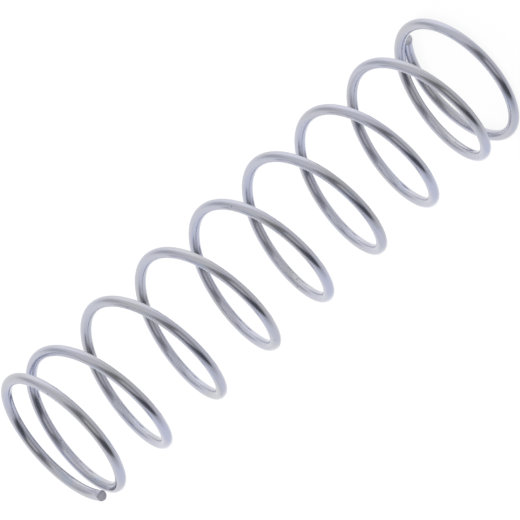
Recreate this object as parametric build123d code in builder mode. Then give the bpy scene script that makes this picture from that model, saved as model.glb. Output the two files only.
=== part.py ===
from build123d import *

import os
from math import cos, radians, sin, sqrt

# A compression spring, coiled from one length of round wire, right-hand wound. Both of its
# ends are closed: there the last coil loses its pitch and comes back beside its neighbour,
# and the wire is cropped square to itself and left unground.
#
# The spring stands on its foot. The coil axis is Z, and the origin is where that axis meets
# the surface under the foot. The foot's cut face lies at angle 0, over +X, and the wire
# climbs anticlockwise from there as seen from above.

# ---------------------------------------------------------------- driving dimensions (mm)

wire_diameter = 0.89
outside_diameter = 12.7
free_length = 48.0            # over the wire, from foot to head, with no load
total_coils = 9.37            # from one cut face to the other

foot_ramp = 0.86              # coils over which the foot's pitch grows from none to full
foot_gap = 0.02               # daylight between the foot's cut end and the coil beside it
head_ramp = 1.13              # the same two at the head
head_gap = 0.19

stations_per_coil = 12        # points that carry the centreline round one coil

# ------------------------------------------------------------------------- derived values

mean_radius = (outside_diameter - wire_diameter) / 2
wire_radius = wire_diameter / 2


def open_pitch():
    """The pitch of the open coils that gives the spring its free length.

    A closed end keeps no pitch for its first part, and then the pitch grows evenly over the
    ramp. The first coil has to gain one wire and the gap, which fixes how much of it keeps
    no pitch, and that makes the free length a quadratic in the square root of the pitch.
    """
    open_coils = total_coils - 2 - (foot_ramp + head_ramp) / 2
    closing = sqrt(2 * foot_ramp * (wire_diameter + foot_gap))
    closing += sqrt(2 * head_ramp * (wire_diameter + head_gap))
    climb = free_length - wire_diameter
    root = (sqrt(closing**2 + 4 * open_coils * climb) - closing) / (2 * open_coils)
    return root**2


pitch = open_pitch()


def climb_from_end(coils, ramp, gap):
    """How far the wire has moved along the axis, so many coils in from a closed end."""
    flat = 1 - sqrt(2 * ramp * (wire_diameter + gap) / pitch)
    in_ramp = min(max(coils - flat, 0), ramp)
    in_full_pitch = max(coils - flat - ramp, 0)
    return pitch * (in_ramp**2 / (2 * ramp) + in_full_pitch)


def centreline_point(coils):
    """The middle of the wire, so many coils up from the foot's cut face."""
    if coils < total_coils / 2:
        z = wire_radius + climb_from_end(coils, foot_ramp, foot_gap)
    else:
        z = free_length - wire_radius - climb_from_end(total_coils - coils, head_ramp, head_gap)
    angle = radians(360 * coils)
    return (mean_radius * cos(angle), mean_radius * sin(angle), z)


# ----------------------------------------------------------------------------- centreline

stations = round(total_coils * stations_per_coil)

with BuildLine() as centreline:
    Spline(*[centreline_point(total_coils * i / stations) for i in range(stations + 1)])

# --------------------------------------------------------------------------- wire section

# The circle is drawn as quarter arcs, which gives the wire four long faces, none of them
# closed on itself. Their seams run along its inside, its outside, its top and its bottom.

foot_plane = Plane(centreline.line @ 0, z_dir=centreline.line % 0)
quarter_arcs = [
    Edge.make_circle(wire_radius, foot_plane, 90 * quarter, 90 * (quarter + 1))
    for quarter in range(4)
]
wire_section = Face(Wire(quarter_arcs))

# --------------------------------------------------------------------------------- spring

with BuildPart() as coil_spring:
    sweep(wire_section, path=centreline.line, is_frenet=True, clean=False)

coil_spring.part.label = "coil_spring"

os.makedirs("parts", exist_ok=True)
export_step(coil_spring.part, "parts/coil_spring.step")

print(f"pitch {pitch:.3f} mm, mean coil diameter {2 * mean_radius:.2f} mm")
print(f"volume {coil_spring.part.volume:.2f} mm3, which is")
print(f"{coil_spring.part.volume / wire_section.area:.1f} mm of wire")
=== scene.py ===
# %% [markdown]
# # A small compression spring
#
# The object is one length of round steel wire, drawn through a die, coiled on a machine, cropped, and
# plated with bright zinc. It has no other part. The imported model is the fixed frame: it says where
# the spring stands and how large it is, and everything below is built around it, in metres, with +Z
# up.

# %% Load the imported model
import math
from collections import namedtuple

import bpy
import numpy as np
from mathutils import Matrix, Vector, noise


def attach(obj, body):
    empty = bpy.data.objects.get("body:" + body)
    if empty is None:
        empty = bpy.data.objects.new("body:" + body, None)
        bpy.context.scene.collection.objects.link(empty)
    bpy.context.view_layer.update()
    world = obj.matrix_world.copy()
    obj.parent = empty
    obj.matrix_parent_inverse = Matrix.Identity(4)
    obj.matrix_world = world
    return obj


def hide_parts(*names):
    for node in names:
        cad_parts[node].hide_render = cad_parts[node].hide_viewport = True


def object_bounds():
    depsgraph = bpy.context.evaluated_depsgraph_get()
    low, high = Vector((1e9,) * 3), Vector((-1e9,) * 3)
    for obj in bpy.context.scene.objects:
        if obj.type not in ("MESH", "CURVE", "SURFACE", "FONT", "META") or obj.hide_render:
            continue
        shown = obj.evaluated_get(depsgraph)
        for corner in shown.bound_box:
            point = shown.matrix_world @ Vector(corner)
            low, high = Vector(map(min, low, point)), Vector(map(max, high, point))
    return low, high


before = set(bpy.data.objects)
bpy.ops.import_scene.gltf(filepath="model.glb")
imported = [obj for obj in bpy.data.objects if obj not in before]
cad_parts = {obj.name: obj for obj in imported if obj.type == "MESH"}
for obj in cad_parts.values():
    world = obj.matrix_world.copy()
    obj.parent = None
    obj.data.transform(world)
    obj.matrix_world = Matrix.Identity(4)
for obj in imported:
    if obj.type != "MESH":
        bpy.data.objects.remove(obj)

solid_low, solid_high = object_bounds()
print("packed nodes:", sorted(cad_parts))
print("box of the solid, mm:", [round(side * 1000, 3) for side in solid_high - solid_low])

# %% [markdown]
# ## The run of the wire
#
# A spring winder feeds wire against two coiling points, which set the diameter, and a pitch tool,
# which pushes the coils apart. At each end the pitch tool is drawn back, so the last coil closes
# against its neighbour. The line of the wire is therefore a circle in plan whose climb starts from
# nothing, grows evenly over a ramp, and stays at full pitch through the open coils. A formula says
# this better than a list of points, and it is the one the solid follows, so the finer wire made here
# lies in the solid's place, to within a few hundredths of a millimetre. Only the cut ends differ.

# %% Driving sizes of the coil
mm = 0.001
wire_diameter = 0.89 * mm
total_coils = 9.37
foot_ramp, foot_gap = 0.86, 0.02 * mm
head_ramp, head_gap = 1.13, 0.19 * mm

outside_diameter = round((solid_high.y - solid_low.y) / mm, 2) * mm
free_length = round((solid_high.z - solid_low.z) / mm, 2) * mm
wire_radius = wire_diameter / 2
mean_radius = (outside_diameter - wire_diameter) / 2
print(f"outside {outside_diameter / mm:.2f} mm, free length {free_length / mm:.2f} mm")

# %% The open pitch, from the free length
open_coils = total_coils - 2 - (foot_ramp + head_ramp) / 2
foot_closing = math.sqrt(2 * foot_ramp * (wire_diameter + foot_gap))
head_closing = math.sqrt(2 * head_ramp * (wire_diameter + head_gap))
closing = foot_closing + head_closing
climb = free_length - wire_diameter
root = (math.sqrt(closing**2 + 4 * open_coils * climb) - closing) / (2 * open_coils)
pitch = root**2
print(f"open pitch {pitch / mm:.3f} mm")


# %% The centreline and the directions across the wire
def climb_from_end(coils, ramp, gap):
    """How far the wire has climbed this many coils in from a cut end."""
    flat = 1 - math.sqrt(2 * ramp * (wire_diameter + gap) / pitch)
    in_ramp = np.clip(coils - flat, 0, ramp)
    in_full_pitch = np.clip(coils - flat - ramp, 0, None)
    return pitch * (in_ramp**2 / (2 * ramp) + in_full_pitch)


def centreline(coils):
    """Points on the wire's centreline, this many coils up from the foot's cut face."""
    from_foot = wire_radius + climb_from_end(coils, foot_ramp, foot_gap)
    from_head = free_length - wire_radius - climb_from_end(total_coils - coils, head_ramp, head_gap)
    height = np.where(coils < total_coils / 2, from_foot, from_head)
    angle = 2 * np.pi * coils
    return np.stack([mean_radius * np.cos(angle), mean_radius * np.sin(angle), height], axis=-1)


def unit(vectors):
    return vectors / np.linalg.norm(vectors, axis=-1, keepdims=True)


small_step = 1e-4


def wire_directions(coils):
    """At each place: along the wire, out from the coil's axis, and across both."""
    along = unit(centreline(coils + small_step) - centreline(coils - small_step))
    angle = 2 * np.pi * coils
    outward = np.stack([np.cos(angle), np.sin(angle), np.zeros_like(angle)], axis=-1)
    outward = unit(outward - (outward * along).sum(-1, keepdims=True) * along)
    return along, outward, np.cross(along, outward)


metres_per_coil = math.hypot(2 * math.pi * mean_radius, pitch)
line = centreline(np.linspace(0, total_coils, 4001))    # fine enough to measure along
wire_length = np.linalg.norm(np.diff(line, axis=0), axis=1).sum()
print(f"wire length {wire_length / mm:.1f} mm")

# %% [markdown]
# ## The wire as a mesh
#
# A curve with a round bevel would give a tube at once, but a cropped end needs rings of its own, and
# the finish needs to know how far along and how far round the wire each point is. So the tube is
# built ring by ring: about 120 rings to a coil, closer at the two ends, with 32 points in each. The
# seam is on the inside of the coil, where least is seen of it.
#
# A winder crops the wire with a blade. Where the blade enters it presses the wire flat before it
# bites; it cuts clean for the first part and the rest breaks off, rougher and a little lower; and
# where it leaves there is a thin burr. Each end has its own cut: the foot's is a little askew, and
# the head's blade pressed a wider flat. The solid's ends are plain square cuts, and its foot ends a
# little sooner.

# %% Where the rings are
rings_per_coil = 120
points_round = 32
foot_overrun = 0.3 * mm         # how far this wire's foot runs on past the solid's
end_steps = np.array([0, 0.012, 0.03, 0.055, 0.09, 0.16, 0.28]) * mm / metres_per_coil
first_place, last_place = -foot_overrun / metres_per_coil, total_coils
middle_rings = round(total_coils * rings_per_coil)
middle = np.linspace(first_place + end_steps[-1], last_place - end_steps[-1], middle_rings)
ring_places = np.concatenate([first_place + end_steps[:-1], middle, last_place - end_steps[-2::-1]])
ring_count = len(ring_places)
print(ring_count, "rings,", ring_count * points_round, "points on the wire")

# %% What the blade did at each end
Cut = namedtuple("Cut", "blade flat slope slope_to")
foot_cut = Cut(blade=math.radians(200), flat=0.86, slope=0.35, slope_to=math.radians(65))
head_cut = Cut(blade=math.radians(192), flat=0.55, slope=0.0, slope_to=0.0)
flat_length = 0.3 * mm
slope_length = 0.6 * mm
burr_height = 0.035 * mm
burr_narrowness = 5             # the higher, the less of the edge the burr takes up
least_facing = 0.001            # keeps the flat's sum finite where the skin faces away from the blade

round_angle = np.pi + 2 * np.pi * np.arange(points_round) / points_round
along, outward, across = wire_directions(ring_places)
print("flats left by the blade, in wire radii:", foot_cut.flat, head_cut.flat)


def radius_near(cut, distance):
    """Radius of each point of a ring this far from a cut: flat on the blade's side, easing to round."""
    eased = math.sqrt(min(distance / flat_length, 1))
    flat = cut.flat + (1 - cut.flat) * eased
    facing = np.maximum(np.cos(round_angle - cut.blade), least_facing)
    return wire_radius * np.minimum(1, flat / facing)


def slope_near(cut, distance):
    """How far each point stands past a square cut because the cut is askew, fading along the wire."""
    fade = max(0, 1 - distance / slope_length)
    return cut.slope * wire_radius * np.cos(round_angle - cut.slope_to) * fade


def burr_at(cut):
    """How far the burr stands up from each point of the cut's edge, where the blade left."""
    leaving = np.clip(-np.cos(round_angle - cut.blade), 0, 1)
    return burr_height * leaving**burr_narrowness


# %% The skin of the wire
vertices = []
for place, centre, forward, out, side in zip(ring_places, centreline(ring_places), along, outward, across):
    from_foot = (place - first_place) * metres_per_coil
    from_head = (last_place - place) * metres_per_coil
    radius = np.minimum(radius_near(foot_cut, from_foot), radius_near(head_cut, from_head))
    stand = slope_near(head_cut, from_head) - slope_near(foot_cut, from_foot)
    if from_foot == 0:
        stand = stand - burr_at(foot_cut)
    if from_head == 0:
        stand = stand + burr_at(head_cut)
    spoke = np.cos(round_angle)[:, None] * out + np.sin(round_angle)[:, None] * side
    vertices.extend(centre + radius[:, None] * spoke + stand[:, None] * forward)

faces = []
face_material = []
for ring in range(ring_count - 1):
    for point in range(points_round):
        a = ring * points_round + point
        b = ring * points_round + (point + 1) % points_round
        faces.append((a, b, b + points_round, a + points_round))
        face_material.append(0)
print(len(faces), "faces on the skin")

# %% The two cropped faces
cap_shares = [0.93, 0.84, 0.7, 0.52, 0.34, 0.17]
clean_cut_from = 0.0            # in wire radii from the middle, towards the blade's side
break_edge = 0.06
break_depth = 0.05
break_roughness = 0.035
lumps_per_radius = 4


def cut_height(share, angle, cut, seed):
    """How far a point of the cut face stands out: level where cut, lower and uneven where broken."""
    x = share * math.cos(angle - cut.blade)
    broken = 1 / (1 + math.exp((x - clean_cut_from) / break_edge))
    reach = share * lumps_per_radius
    rough = noise.noise(Vector((reach * math.cos(angle), reach * math.sin(angle), seed)))
    return broken * (-break_depth + break_roughness * rough) * wire_radius


def crop(ring, sign, cut, seed):
    """Closes one end: rings of points across the cut face, drawn in to its middle."""
    centre, forward = centreline(ring_places[ring]), along[ring] * sign
    previous = ring * points_round + np.arange(points_round)
    radius, askew = radius_near(cut, 0), slope_near(cut, 0)
    for share in cap_shares:
        first = len(vertices)
        for angle, reach, slope in zip(round_angle, radius, askew):
            spoke = math.cos(angle) * outward[ring] + math.sin(angle) * across[ring]
            height = share * slope + cut_height(share, angle, cut, seed)
            vertices.append(centre + share * reach * spoke + height * forward)
        current = first + np.arange(points_round)
        for point in range(points_round):
            after = (point + 1) % points_round
            quad = (previous[point], current[point], current[after], previous[after])
            faces.append(tuple(int(v) for v in (quad if sign < 0 else quad[::-1])))
            face_material.append(1)
        previous = current
    vertices.append(centre + cut_height(0, 0, cut, seed) * forward)
    hub = len(vertices) - 1
    for point in range(points_round):
        triangle = (int(previous[point]), hub, int(previous[(point + 1) % points_round]))
        faces.append(triangle if sign < 0 else triangle[::-1])
        face_material.append(1)


crop(0, -1, foot_cut, 3.7)
crop(ring_count - 1, 1, head_cut, 8.1)
print(len(faces) - (ring_count - 1) * points_round, "faces on the two cuts")

# %% Make the mesh, with sharp cut edges
mesh = bpy.data.meshes.new("spring_wire")
mesh.from_pydata([tuple(v) for v in vertices], [], faces)
sharp_edge = math.radians(38)
mesh.shade_smooth()
mesh.set_sharp_from_angle(angle=sharp_edge)
mesh.validate()
wire = bpy.data.objects.new("spring_wire", mesh)
bpy.context.scene.collection.objects.link(wire)
print(len(mesh.polygons), "faces in all,", len(mesh.vertices), "points")

# %% [markdown]
# The finish is made of things that run along the wire, so the mesh carries a map of it: about how
# many millimetres from the foot, and how many turns round the wire. The millimetres are those of the
# open coils, so they run a little long in the closed ends. A second map lays the same skin out in
# short strips, side by side, for whoever wants the finish as pictures.

# %% Map the skin: millimetres along, turns round
skin_faces = (ring_count - 1) * points_round
ring_mm = ring_places * metres_per_coil / mm
run = mesh.uv_layers.new(name="wire_run")
strips = mesh.uv_layers.new(name="OFBake")
strip_count = 11
strip_mm = ring_mm[-1] / strip_count
strip_height = 1 / (strip_count + 1)
strip_fill = 0.9                # share of a strip's height that its skin takes up
strip_span = 0.98               # share of the map's width that a strip takes up
cut_size = 0.4                  # radius of a cut face on the map, in strip heights


def map_skin_face(face):
    ring, point = divmod(face.index, points_round)
    strip = min(int((ring_mm[ring] + ring_mm[ring + 1]) / 2 / strip_mm), strip_count - 1)
    for corner, (dr, dp) in zip(face.loop_indices, ((0, 0), (0, 1), (1, 1), (1, 0))):
        distance = ring_mm[ring + dr]
        turn = (point + dp) / points_round
        run.uv[corner].vector = (distance, turn)
        along_strip = (1 - strip_span) / 2 + strip_span * (distance - strip * strip_mm) / strip_mm
        across_strip = (strip + (1 - strip_fill) / 2 + strip_fill * turn) * strip_height
        strips.uv[corner].vector = (along_strip, across_strip)


def map_cut_face(face, at_head):
    ring = ring_count - 1 if at_head else 0
    middle_x = 0.75 if at_head else 0.25
    middle_y = (strip_count + 0.5) * strip_height
    for corner in face.loop_indices:
        point = np.array(mesh.vertices[mesh.loops[corner].vertex_index].co)
        offset = point - centreline(ring_places[ring])
        x, y = offset @ outward[ring] / wire_radius, offset @ across[ring] / wire_radius
        run.uv[corner].vector = (x, y)
        size = cut_size * strip_height
        strips.uv[corner].vector = (middle_x + size * x, middle_y + size * y)


first_head_face = skin_faces + (len(mesh.polygons) - skin_faces) // 2
for face in mesh.polygons:
    if face.index < skin_faces:
        map_skin_face(face)
    else:
        map_cut_face(face, at_head=face.index >= first_head_face)
run.active_render = True
print("maps:", [layer.name for layer in mesh.uv_layers])

# %% [markdown]
# ## Is it in the solid's place?
#
# The two wires were made apart, so it is worth measuring how well they agree. For points on the
# solid's skin, the distance to the centreline should be the wire's radius. Points well inside the
# cut faces are nearer, and are left out.

# %% Check the wire against the solid
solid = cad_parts["coil_spring"]
solid_points = np.array([v.co for v in solid.data.vertices])
line_points = centreline(np.linspace(0, total_coils, 6001))
every = max(1, len(solid_points) // 600)
sample = solid_points[::every]
gap = np.linalg.norm(sample[:, None] - line_points[None], axis=2).min(axis=1)
on_skin = gap > wire_radius * 0.9
farthest = np.abs(gap[on_skin] - wire_radius).max()
print(f"solid's skin lies {farthest / mm:.4f} mm from this wire's, at most")

# %% [markdown]
# ## A short way to write shader maths
#
# Shader nodes wired by hand take many lines and hide the sum behind them. A small class wraps a
# socket, so that `1 - mask` or `lines * 0.3` adds its own Math nodes and reads as the sum it is.
# Every other node comes from one method, which sets the node's settings first and then its sockets.


# %% Signal: a socket that can be added, multiplied and so on
class Signal:
    def __init__(self, recipe, socket):
        self.recipe = recipe
        self.socket = socket

    def math(self, operation, first, second=0.0, clamp=False):
        return self.recipe.math(operation, first, second, clamp)

    def __add__(self, other):
        return self.math("ADD", self, other)

    __radd__ = __add__

    def __sub__(self, other):
        return self.math("SUBTRACT", self, other)

    def __rsub__(self, other):
        return self.math("SUBTRACT", other, self)

    def __mul__(self, other):
        return self.math("MULTIPLY", self, other)

    __rmul__ = __mul__

    def clamped(self):
        return self.math("ADD", self, 0.0, clamp=True)


# %% Recipe: the nodes of one material
class Recipe:
    def __init__(self, name=None, tree=None):
        if tree is None:
            self.material = bpy.data.materials.new(name)
            self.material.use_nodes = True
            tree = self.material.node_tree
        self.tree = tree
        self.tree.nodes.clear()

    def node(self, kind, settings=None, sockets=None, output=0):
        """Adds a node and gives one of its outputs."""
        made = self.tree.nodes.new(kind)
        for name, value in (settings or {}).items():
            setattr(made, name, value)
        for name, value in (sockets or {}).items():
            if isinstance(value, Signal):
                self.tree.links.new(value.socket, made.inputs[name])
            else:
                made.inputs[name].default_value = value
        return Signal(self, made.outputs[output])

    def math(self, operation, first, second=0.0, clamp=False):
        settings = {"operation": operation, "use_clamp": clamp}
        return self.node("ShaderNodeMath", settings, {0: first, 1: second})

    def mix(self, share, first, second):
        """A colour between two colours."""
        settings = {"data_type": "RGBA", "clamp_factor": True}
        return self.node("ShaderNodeMix", settings, {0: share, 6: first, 7: second}, output=2)

    def output(self, kind, surface):
        made = self.tree.nodes.new(kind)
        self.tree.links.new(surface.socket, made.inputs["Surface"])

    def finish(self, surface):
        self.output("ShaderNodeOutputMaterial", surface)
        return self.material


def grey(value):
    return (value, value, value, 1)


print("shader helpers ready")

# %% [markdown]
# ## Bright zinc on drawn wire
#
# Zinc from a plating bath is a thin bright metal skin. A clear passivate leaves it faintly blue, with
# warmer grey patches where the layer is thinner. Below it is drawn wire: the die leaves fine lines
# along its whole length, and a few deeper ones. The lines make every reflection streaky along the
# wire. The material is plain metal, with the clouding in its colour and the lines in its roughness and
# its bump. Its colour also holds painted shade: the deeper lines darken it towards grey, and small
# near-black spots stand for shade in pits that have no dent in the surface.
#
# The wire's map gives the noise its coordinates. Turns round the wire become a point on a circle, so
# that no pattern breaks at the seam.

# %% Where on the wire
zinc = Recipe("zinc_plated_wire")
full_turn = 2 * math.pi
place = zinc.node("ShaderNodeUVMap", {"uv_map": "wire_run"})
along_wire = zinc.node("ShaderNodeSeparateXYZ", None, {0: place}, output="X")
turns = zinc.node("ShaderNodeSeparateXYZ", None, {0: place}, output="Y")
round_x = turns.math("COSINE", turns * full_turn)
round_y = turns.math("SINE", turns * full_turn)
radius_mm = wire_radius / mm
print(f"the wire's map runs to {ring_mm[-1]:.1f} mm")


def wire_noise(per_mm, stretch, detail, shift):
    """Noise with so many features to a millimetre round the wire, drawn out along it."""
    x = along_wire * (per_mm / stretch) + shift
    y = round_x * (per_mm * radius_mm)
    z = round_y * (per_mm * radius_mm)
    point = zinc.node("ShaderNodeCombineXYZ", None, {"X": x, "Y": y, "Z": z})
    sockets = {"Vector": point, "Scale": 1.0, "Detail": detail, "Roughness": 0.5}
    return zinc.node("ShaderNodeTexNoise", {"noise_dimensions": "3D"}, sockets)


def between(signal, low, high):
    """0 below low, 1 above high, smooth between."""
    settings = {"interpolation_type": "SMOOTHSTEP", "clamp": True}
    return zinc.node("ShaderNodeMapRange", settings, {"Value": signal, "From Min": low, "From Max": high})


# %% Drawn lines: fine ones everywhere, and deeper ones that come and go
fine_lines = wire_noise(per_mm=5.5, stretch=400, detail=1.0, shift=3.0)
deep_lines = between(wire_noise(per_mm=4.5, stretch=140, detail=1, shift=17.0), 0.60, 0.68)
broken_up = between(wire_noise(per_mm=0.9, stretch=9, detail=2, shift=40.0), 0.42, 0.62)
deep_lines = deep_lines * broken_up
line_height = fine_lines - deep_lines * 0.5
print("after the lines:", len(zinc.tree.nodes), "nodes")

# %% Clouding of the plate, and painted shade of small pits
warm_cloud = between(wire_noise(per_mm=0.55, stretch=4.5, detail=3, shift=71.0), 0.44, 0.66)
blue_spots = between(wire_noise(per_mm=0.9, stretch=2.5, detail=2, shift=93.0), 0.60, 0.74)
pits_per_mm, pit_spread = 0.55, 0.4
pit_sockets = {"X": along_wire * pits_per_mm, "Y": round_x * pit_spread, "Z": round_y * pit_spread}
pit_point = zinc.node("ShaderNodeCombineXYZ", None, pit_sockets)
pit_cells = zinc.node(
    "ShaderNodeTexVoronoi", {"feature": "F1"}, {"Vector": pit_point, "Scale": 1.0}, output="Distance"
)
# Small spots that get the painted shade of pits. The surface has no dent there.
pit_shade_spots = 1 - between(pit_cells, 0.03, 0.06)
print("after the clouding and pits:", len(zinc.tree.nodes), "nodes")

# %% The plate's colours, one over the other
lavender_zinc = (0.600, 0.610, 0.705, 1)
warm_zinc = (0.600, 0.600, 0.625, 1)
blue_zinc = (0.500, 0.560, 0.720, 1)
# Painted shade for the deeper drawn lines: the grey that their grooves darken towards.
groove_painted_shade = grey(0.36)
# Painted shade for pits: near-black.
pit_painted_shade = (0.12, 0.12, 0.14, 1)
colour = zinc.mix(warm_cloud * 0.8, lavender_zinc, warm_zinc)
colour = zinc.mix(blue_spots * 0.6, colour, blue_zinc)
# Painted shade: the deeper lines darken the colour a quarter of the way to grey, as well as changing the
# bump and roughness.
colour = zinc.mix(deep_lines * 0.25, colour, groove_painted_shade)
# Painted shade: near-black spots where pits would be shaded, with no dent in the surface.
colour = zinc.mix(pit_shade_spots * 0.8, colour, pit_painted_shade)
print("lavender, warm and blue zinc:", lavender_zinc[:3], warm_zinc[:3], blue_zinc[:3])

# %% The metal itself
line_depth = 0.006 * mm
bump = zinc.node("ShaderNodeBump", None, {"Strength": 1.0, "Distance": line_depth, "Height": line_height})
roughness = 0.12 + fine_lines * 0.06 + deep_lines * 0.12 + warm_cloud * 0.05
plate = zinc.node(
    "ShaderNodeBsdfPrincipled",
    None,
    {
        "Base Color": colour,
        "Metallic": 1.0,
        "Roughness": roughness,
        "Anisotropic": 0.5,
        "Anisotropic Rotation": 0.25,
        "Normal": bump,
    },
)
zinc_plated_wire = zinc.finish(plate)
print("zinc:", len(zinc.tree.nodes), "nodes")

# %% [markdown]
# ## The cropped faces
#
# The wire is cropped before it is plated, so the cut faces have zinc on them too, but on torn steel
# it is duller and greyer. One material serves the whole face: a fine grain varies its colour, its
# gloss and its bump, and the broken part is told from the part that was cut clean by its shape.

# %% Sheared face
sheared = Recipe("sheared_end")
face_place = sheared.node("ShaderNodeUVMap", {"uv_map": "wire_run"})
grain = sheared.node("ShaderNodeTexNoise", None, {"Vector": face_place, "Scale": 7.0, "Detail": 4.0})
dull_zinc = (0.60, 0.61, 0.67, 1)
clean_zinc = (0.78, 0.79, 0.86, 1)
face_colour = sheared.mix(grain.clamped(), dull_zinc, clean_zinc)
grain_depth = 0.01 * mm
face_bump = sheared.node("ShaderNodeBump", None, {"Strength": 0.5, "Distance": grain_depth, "Height": grain})
torn = sheared.node(
    "ShaderNodeBsdfPrincipled",
    None,
    {"Base Color": face_colour, "Metallic": 1.0, "Roughness": 0.38 + grain * 0.2, "Normal": face_bump},
)
sheared_end = sheared.finish(torn)
print("sheared end:", len(sheared.tree.nodes), "nodes")

# %% Put both finishes on the mesh
mesh.materials.append(zinc_plated_wire)
mesh.materials.append(sheared_end)
mesh.polygons.foreach_set("material_index", face_material)
print("materials:", [m.name for m in mesh.materials])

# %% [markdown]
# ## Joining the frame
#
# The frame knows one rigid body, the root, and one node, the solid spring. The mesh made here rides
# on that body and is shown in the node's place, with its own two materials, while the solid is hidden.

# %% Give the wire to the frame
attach(wire, "root")
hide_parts("coil_spring")

# %% [markdown]
# ## The studio: a floor
#
# Bright metal has hardly a colour of its own: what is seen is what stands round it. Small plated
# parts are shown in a white tent, on a pale sweep. The floor here is a plain diffuse sheet that gives
# off white to the eye, mixed so that a tenth of it is painted and keeps the spring's faint shadow.
# The metal doesn't reflect it: what lies below is part of the tent, so that all that the metal shows
# is set in one place.

# %% Floor
floor_size = 3.0
white_share = 0.9
floor_recipe = Recipe("pale_floor")
light_path = [
    floor_recipe.node("ShaderNodeLightPath", output=name)
    for name in ("Is Camera Ray", "Is Glossy Ray", "Is Transmission Ray")
]
seen = (light_path[0] + light_path[1] + light_path[2]).clamped()
painted = floor_recipe.node("ShaderNodeBsdfDiffuse", None, {"Color": grey(0.9)})
white = floor_recipe.node("ShaderNodeEmission", None, {"Color": grey(1.0), "Strength": 1.0})
floor_surface = floor_recipe.node("ShaderNodeMixShader", None, {0: seen * white_share, 1: painted, 2: white})
floor_mesh = bpy.data.meshes.new("floor")
half = floor_size / 2
floor_corners = [(-half, -half, 0), (half, -half, 0), (half, half, 0), (-half, half, 0)]
floor_mesh.from_pydata(floor_corners, [], [(0, 1, 2, 3)])
floor_mesh.materials.append(floor_recipe.finish(floor_surface))
floor = bpy.data.objects.new("floor", floor_mesh)
floor.location.z = solid_low.z
floor.visible_glossy = False
bpy.context.scene.collection.objects.link(floor)
print(f"floor {floor_size} m square, at z = {floor.location.z / mm:.3f} mm")

# %% [markdown]
# ## The studio: the tent
#
# The eye and soft light meet a plain white world. Only reflections meet the tent: a pale ground with
# soft-edged panels laid over it, each in one direction as seen from the spring. Bright panels make
# the pale sides of the wire, and dark ones make the streaks that show the wire is round. The panels
# stay where they are when the camera moves. They were set by trial and measurement, until the
# streaks lay where they should, and their names only say what each might be in a real tent.
#
# Cards on stands could do the same, but the floor hides those that stand below it, their edges are
# hard, and each has to be hidden from the eye.

# %% Directions in the tent
tent_world = bpy.data.worlds.new("white_tent")
bpy.context.scene.world = tent_world
tent_world.use_nodes = True
tent = Recipe(tree=tent_world.node_tree)
direction = tent.node("ShaderNodeTexCoord", output="Generated")


def dot(vector, fixed):
    settings = {"operation": "DOT_PRODUCT"}
    return tent.node("ShaderNodeVectorMath", settings, {0: vector, 1: fixed}, output="Value")


def towards(azimuth, elevation):
    azimuth, elevation = math.radians(azimuth), math.radians(elevation)
    level = math.cos(elevation)
    return Vector((level * math.cos(azimuth), level * math.sin(azimuth), math.sin(elevation)))


def soft_step(signal, inner, outer):
    """1 inside inner, 0 outside outer."""
    sockets = {"Value": signal, "From Min": inner, "From Max": outer, "To Min": 1.0, "To Max": 0.0}
    return tent.node("ShaderNodeMapRange", {"interpolation_type": "SMOOTHSTEP", "clamp": True}, sockets)


def patch(before, colour, azimuth, elevation, width, height, soft):
    """A soft-edged panel of the tent in one direction, its size in degrees."""
    middle = towards(azimuth, elevation)
    side = Vector((0, 0, 1)).cross(middle).normalized()
    rise = middle.cross(side)
    ahead = dot(direction, middle)
    sideways = tent.math("ARCTAN2", dot(direction, side), ahead)
    upwards = tent.math("ARCSINE", dot(direction, rise))
    half_width, half_height, edge = (math.radians(value) for value in (width / 2, height / 2, soft / 2))
    mask = soft_step(tent.math("ABSOLUTE", sideways), half_width - edge, half_width + edge)
    mask = mask * soft_step(tent.math("ABSOLUTE", upwards), half_height - edge, half_height + edge)
    return tent.mix(mask, before, colour)


def tinted(level, blue):
    """A grey of this level, with this much blue to its red, and a fifth of that change in its green."""
    return (level, level * (0.8 + 0.2 * blue), level * blue, 1)


print("the tent's world:", tent_world.name)

# %% The panels, from the back of the pile to the front
Panel = namedtuple("Panel", "name azimuth elevation width height soft level blue")
ground = tinted(0.71, 1.0)
panels = [
    Panel("low bright sheet", 35, -42, 150, 70, 50, 1.03, 1.0),
    Panel("right wall", 52, 12, 110, 100, 40, 0.89, 1.0),
    Panel("blue back wall", 128, 12, 75, 120, 40, 0.79, 1.13),
    Panel("low left glint", -33, -22, 34, 34, 26, 1.05, 1.02),
    Panel("low right glint", 74, -18, 30, 26, 22, 1.08, 1.0),
    Panel("seam of the tent", -6, 35, 34, 42, 30, 0.53, 1.08),
    Panel("crown", 0, 90, 50, 50, 30, 0.66, 1.0),
    Panel("low front", -146, -20, 110, 44, 30, 0.58, 1.0),
    Panel("shade of the table", -182, 24, 66, 84, 34, 0.54, 1.1),
    Panel("dark front", -148, 26, 92, 86, 10, 0.35, 1.0),
    Panel("canopy", -160, 67, 66, 38, 10, 0.26, 1.0),
    Panel("window", -140, 29, 32, 36, 12, 0.55, 1.0),
    Panel("lens opening", -115, 30, 16, 50, 8, 0.21, 1.0),
    Panel("table edge", -179, 22, 33, 66, 12, 0.085, 1.3),
]

light = ground
for panel in panels:
    shade = tinted(panel.level, panel.blue)
    light = patch(light, shade, panel.azimuth, panel.elevation, panel.width, panel.height, panel.soft)
print(len(panels), "panels, levels", min(p.level for p in panels), "to", max(p.level for p in panels))

# %% White to the eye, the tent to reflections
is_glossy = tent.node("ShaderNodeLightPath", output="Is Glossy Ray")
shown = tent.mix(is_glossy, grey(1.0), light)
background = tent.node("ShaderNodeBackground", None, {"Color": shown, "Strength": 1.0})
tent.output("ShaderNodeOutputWorld", background)
print("tent:", len(tent.tree.nodes), "nodes")

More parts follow.
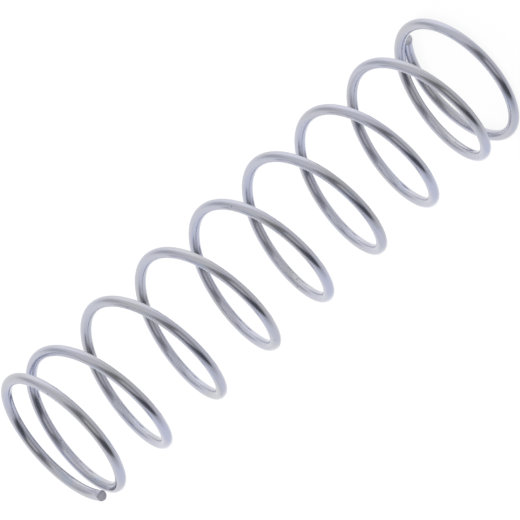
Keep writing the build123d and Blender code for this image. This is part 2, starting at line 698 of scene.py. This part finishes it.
# %% [markdown]
# ## The studio: a lamp
#
# The white world lights the spring from every side, so it gives hardly any shadow. One broad, weak
# disk, high on the far side, gives the spring a soft shadow to stand in. It is hidden from
# reflections, where it would make a hard spot.

# %% Lamp
lamp_data = bpy.data.lights.new("soft_lamp", "AREA")
lamp_data.shape = "DISK"
lamp_data.size = 0.5            # metres across
lamp_data.energy = 3.0          # watts
lamp = bpy.data.objects.new("soft_lamp", lamp_data)
lamp.location = (0.3, 0.3, 0.8)
lamp.rotation_euler = Vector(lamp.location).to_track_quat("Z", "Y").to_euler()
lamp.visible_glossy = False
bpy.context.scene.collection.objects.link(lamp)
print("lamp at", tuple(round(v, 2) for v in lamp.location), "watts", lamp_data.energy)

# %% [markdown]
# ## The camera
#
# A spring stands on its end in the frame, but it is looked at lying from corner to corner. So the
# camera looks from one side and a little above, aims near the middle of the coil, and is rolled far
# over. A long lens from nearly half a metre keeps the near and far coils almost the same size.

# %% Camera
view_azimuth = math.radians(-118.819)
view_elevation = math.radians(23.262)
view_roll = math.radians(-131.926)
view_distance = 0.44232
coil_middle = Vector((0, 0, free_length / 2))
aim = coil_middle + Vector((-0.11, 0.06, 0.63)) * mm

view_level = math.cos(view_elevation)
back = Vector((
    view_level * math.cos(view_azimuth),
    view_level * math.sin(view_azimuth),
    math.sin(view_elevation),
))
level_right = Vector((0, 0, 1)).cross(back).normalized()
level_up = back.cross(level_right)
camera_up = math.cos(view_roll) * level_up - math.sin(view_roll) * level_right
camera_right = camera_up.cross(back)
camera_data = bpy.data.cameras.new("camera")
camera_data.lens = 380.67
camera_data.clip_start = 0.01
camera_data.clip_end = 10
camera = bpy.data.objects.new("camera", camera_data)
turn = Matrix((camera_right, camera_up, back)).transposed()
camera.matrix_world = Matrix.Translation(aim + back * view_distance) @ turn.to_4x4()
bpy.context.scene.collection.objects.link(camera)
bpy.context.scene.camera = camera
bpy.context.scene.view_settings.view_transform = "Standard"
print(f"camera {view_distance} m away, lens {camera_data.lens:.1f} mm")
